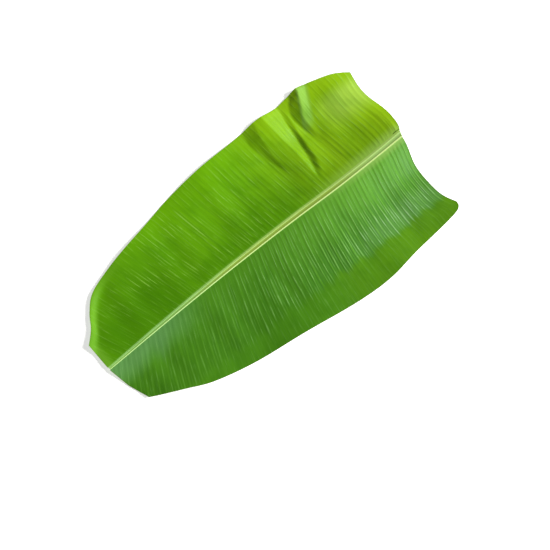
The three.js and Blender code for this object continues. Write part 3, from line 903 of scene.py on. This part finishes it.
def lay_midrib(n):
    """Two pale ridges, tan in the groove between, and a soft pale shoulder, wider toward the base cut. The
    shoulder is partly the midrib's own pale band and partly painted light over the shade on its outer slope.
    """
    shoulder = n.times(
        n.ramp(n.across, *SHOULDER_OUTER_ACROSS), n.ramp(n.across, *SHOULDER_INNER_ACROSS),
        n.ramp(n.number, *SHOULDER_BASE_VEINS), n.ramp(n.number, *SHOULDER_TIP_VEINS),
    )
    pale = n.times(
        n.ramp(n.across, *PALE_UPPER_ACROSS), n.ramp(n.across, *PALE_LOWER_ACROSS),
        n.ramp(n.number, *PALE_VEINS),
    )
    n.lay(n.math("MAXIMUM", shoulder, pale), linear(RIB_SHOULDER))
    groove = n.blend(n.ramp(n.number, *RIB_GREEN_VEINS), linear(RIB_GROOVE), linear(RIB_GREEN))
    groove = n.blend(n.ramp(n.number, *GROOVE_TIP_VEINS), groove, linear(RIB_GROOVE_TIP))
    n.lay(n.ramp(n.math("ABSOLUTE", n.across), *RIB_ACROSS), groove)
    toward_tip = n.ramp(n.number, *RIDGE_TIP_VEINS)
    upper_ridge = n.times(
        n.ramp(n.across, *UPPER_RIDGE_INNER_ACROSS), n.ramp(n.across, *UPPER_RIDGE_OUTER_ACROSS)
    )
    n.lay(upper_ridge, n.blend(toward_tip, linear(RIB_UPPER_RIDGE), linear(RIB_UPPER_RIDGE_TIP)))
    lower_ridge = n.times(
        n.ramp(n.across, *LOWER_RIDGE_INNER_ACROSS), n.ramp(n.across, *LOWER_RIDGE_OUTER_ACROSS)
    )
    n.lay(lower_ridge, n.blend(toward_tip, linear(RIB_RIDGE), linear(RIB_RIDGE_TIP)))
    # Painted shade for a short slit beside the midrib at the base cut, which the shape doesn't have
    slit = n.times(n.ramp(n.away(n.across, SLIT_ACROSS), *SLIT_WIDTH), n.ramp(n.number, *SLIT_VEINS))
    n.lay(slit, linear(SLIT_SHADE))


def add_shader(n, vein):
    shader = n.tree.nodes.new("ShaderNodeBsdfPrincipled")
    n.put(shader.inputs["Base Color"], n.colour)
    n.put(shader.inputs["Roughness"], n.ramp(n.fine, *ROUGHNESS))
    shine = n.math("MINIMUM", n.ramp(n.zone, *ZONE_SHINE), n.ramp(n.length, *HALF_SHINE))
    n.put(shader.inputs["Specular IOR Level"], shine)
    bump = n.tree.nodes.new("ShaderNodeBump")
    bump.inputs["Strength"].default_value = BUMP_STRENGTH
    bump.inputs["Distance"].default_value = BUMP_HEIGHT * MM
    n.put(bump.inputs["Height"], n.math("ADD", n.times(n.fine, RELIEF_SHARE), n.times(vein, RELIEF_SHARE)))
    n.put(shader.inputs["Normal"], bump.outputs[0])
    output = n.tree.nodes.new("ShaderNodeOutputMaterial")
    n.put(output.inputs[0], shader.outputs[0])


def leaf_material(name, greens):
    """One side of the leaf: greens with painted light and shade, streaks, the lower half's painted highlights
    and shade on its veins, veins, margin and midrib, each laid over the last.
    """
    material = bpy.data.materials.new(name)
    n = LeafNodes(material, greens)
    n.colour = n.blend(n.upper_half, lower_half_green(n), upper_half_green(n))
    # The lower half's painted sheen near the base cut
    painted_sheen = n.times(
        n.ramp(n.number, *PAINTED_SHEEN_VEINS), n.ramp(n.zone, *PAINTED_SHEEN_INNER_ZONE), n.ramp(n.zone, *PAINTED_SHEEN_OUTER_ZONE)
    )
    lower_line = n.blend(painted_sheen, n.green["lower_line"], n.green["lower_painted_sheen"])
    line = n.blend(n.upper_half, lower_line, n.green["upper_line"])
    dark, darkest_shade, light = (n.blend(1.0, n.colour, tone, "MULTIPLY") for tone in (DARK, DARKEST_SHADE, LIGHT))
    drift = n.math("SUBTRACT", n.streaks(VEIN_DRIFT), 0.5)
    drifting = n.math("ADD", n.number, n.math("MULTIPLY", drift, VEIN_DRIFT_WIDTH))
    from_vein = n.zigzag(drifting)
    vein = vein_lines(n, drifting, from_vein)
    lay_streaks(n, dark, light)
    lay_lower_painted_light(n, from_vein, dark, darkest_shade, light)
    lay_veins(n, vein, painted_sheen, line)
    lay_margin(n, light, line)
    if greens is UPPER_SIDE:
        lay_midrib(n)
    else:
        n.lay(n.ramp(n.math("ABSOLUTE", n.across), *KEEL_ACROSS), linear(KEEL_PALE))
    add_shader(n, vein)
    return material


def camera_axes():
    heading, elevation = math.radians(CAMERA_HEADING), math.radians(CAMERA_ELEVATION)
    ground = Vector((math.cos(heading), math.sin(heading), 0))
    forward = ground * math.cos(elevation) - Vector((0, 0, 1)) * math.sin(elevation)
    right = Vector((math.sin(heading), -math.cos(heading), 0))
    return forward, right, right.cross(forward)


def add_camera(middle):
    forward, right, up = camera_axes()
    data = bpy.data.cameras.new("camera")
    data.lens = LENS
    data.sensor_width = SENSOR
    data.clip_start, data.clip_end = CLIP
    camera = bpy.data.objects.new("camera", data)
    rotation = Matrix((right, up, -forward)).transposed().to_4x4()
    target = Vector(((CAMERA_TARGET[0] - middle[0]) * MM, (CAMERA_TARGET[1] - middle[1]) * MM, 0.0))
    camera.matrix_world = Matrix.Translation(target - forward * CAMERA_DISTANCE * MM) @ rotation
    bpy.context.scene.collection.objects.link(camera)
    bpy.context.scene.camera = camera


def add_light(name, kind, azimuth, elevation, distance, energy, colour):
    """A light that looks at the leaf."""
    a, e = math.radians(azimuth), math.radians(elevation)
    towards = Vector((math.cos(a) * math.cos(e), math.sin(a) * math.cos(e), math.sin(e)))
    data = bpy.data.lights.new(name, kind)
    data.energy = energy
    data.color = colour
    light = bpy.data.objects.new(name, data)
    light.location = towards * distance
    light.rotation_euler = (-towards).to_track_quat("-Z", "Y").to_euler()
    bpy.context.scene.collection.objects.link(light)
    return light


def add_key():
    """From the right of the picture, fairly low, so that slopes facing it are bright."""
    light = add_light("key", "SUN", KEY_AZIMUTH, KEY_ELEVATION, KEY_DISTANCE, KEY_STRENGTH, KEY_COLOUR)
    light.data.angle = math.radians(KEY_SPREAD)
    light.visible_glossy = False


def add_sheen(name, azimuth, elevation, power, size):
    """A cool soft light that the leaf's surface mirrors, and that doesn't light it otherwise."""
    light = add_light(name, "AREA", azimuth, elevation, SHEEN_DISTANCE, power, SHEEN_COLOUR)
    light.data.shape = "RECTANGLE"
    light.data.size, light.data.size_y = size
    light.visible_diffuse = False


def add_floor():
    mesh = bpy.data.meshes.new("floor")
    s = FLOOR_HALF_SIZE
    mesh.from_pydata([(-s, -s, 0), (s, -s, 0), (s, s, 0), (-s, s, 0)], [], [(0, 1, 2, 3)])
    floor = bpy.data.objects.new("floor", mesh)
    floor.location.z = -FLOOR_DROP
    material = bpy.data.materials.new("floor")
    material.use_nodes = True
    shader = material.node_tree.nodes["Principled BSDF"]
    shader.inputs["Base Color"].default_value = FLOOR_COLOUR
    shader.inputs["Roughness"].default_value = FLOOR_ROUGHNESS
    shader.inputs["Specular IOR Level"].default_value = FLOOR_SHINE
    shader.inputs["Emission Color"].default_value = WHITE
    shader.inputs["Emission Strength"].default_value = FLOOR_GLOW
    mesh.materials.append(material)
    bpy.context.scene.collection.objects.link(floor)


def add_sky():
    world = bpy.data.worlds.new("studio")
    world.use_nodes = True
    background = world.node_tree.nodes["Background"]
    background.inputs["Color"].default_value = WHITE
    background.inputs["Strength"].default_value = SKY_STRENGTH
    world.cycles_visibility.glossy = False
    bpy.context.scene.world = world


leaf, plan_middle = build_leaf()
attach(leaf, "root")
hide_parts("banana_leaf")
add_floor()
add_sky()
add_camera(plan_middle)
add_key()
for sheen_name, sheen in SHEENS.items():
    add_sheen(sheen_name, **sheen)
bpy.context.scene.view_settings.view_transform = "Standard"
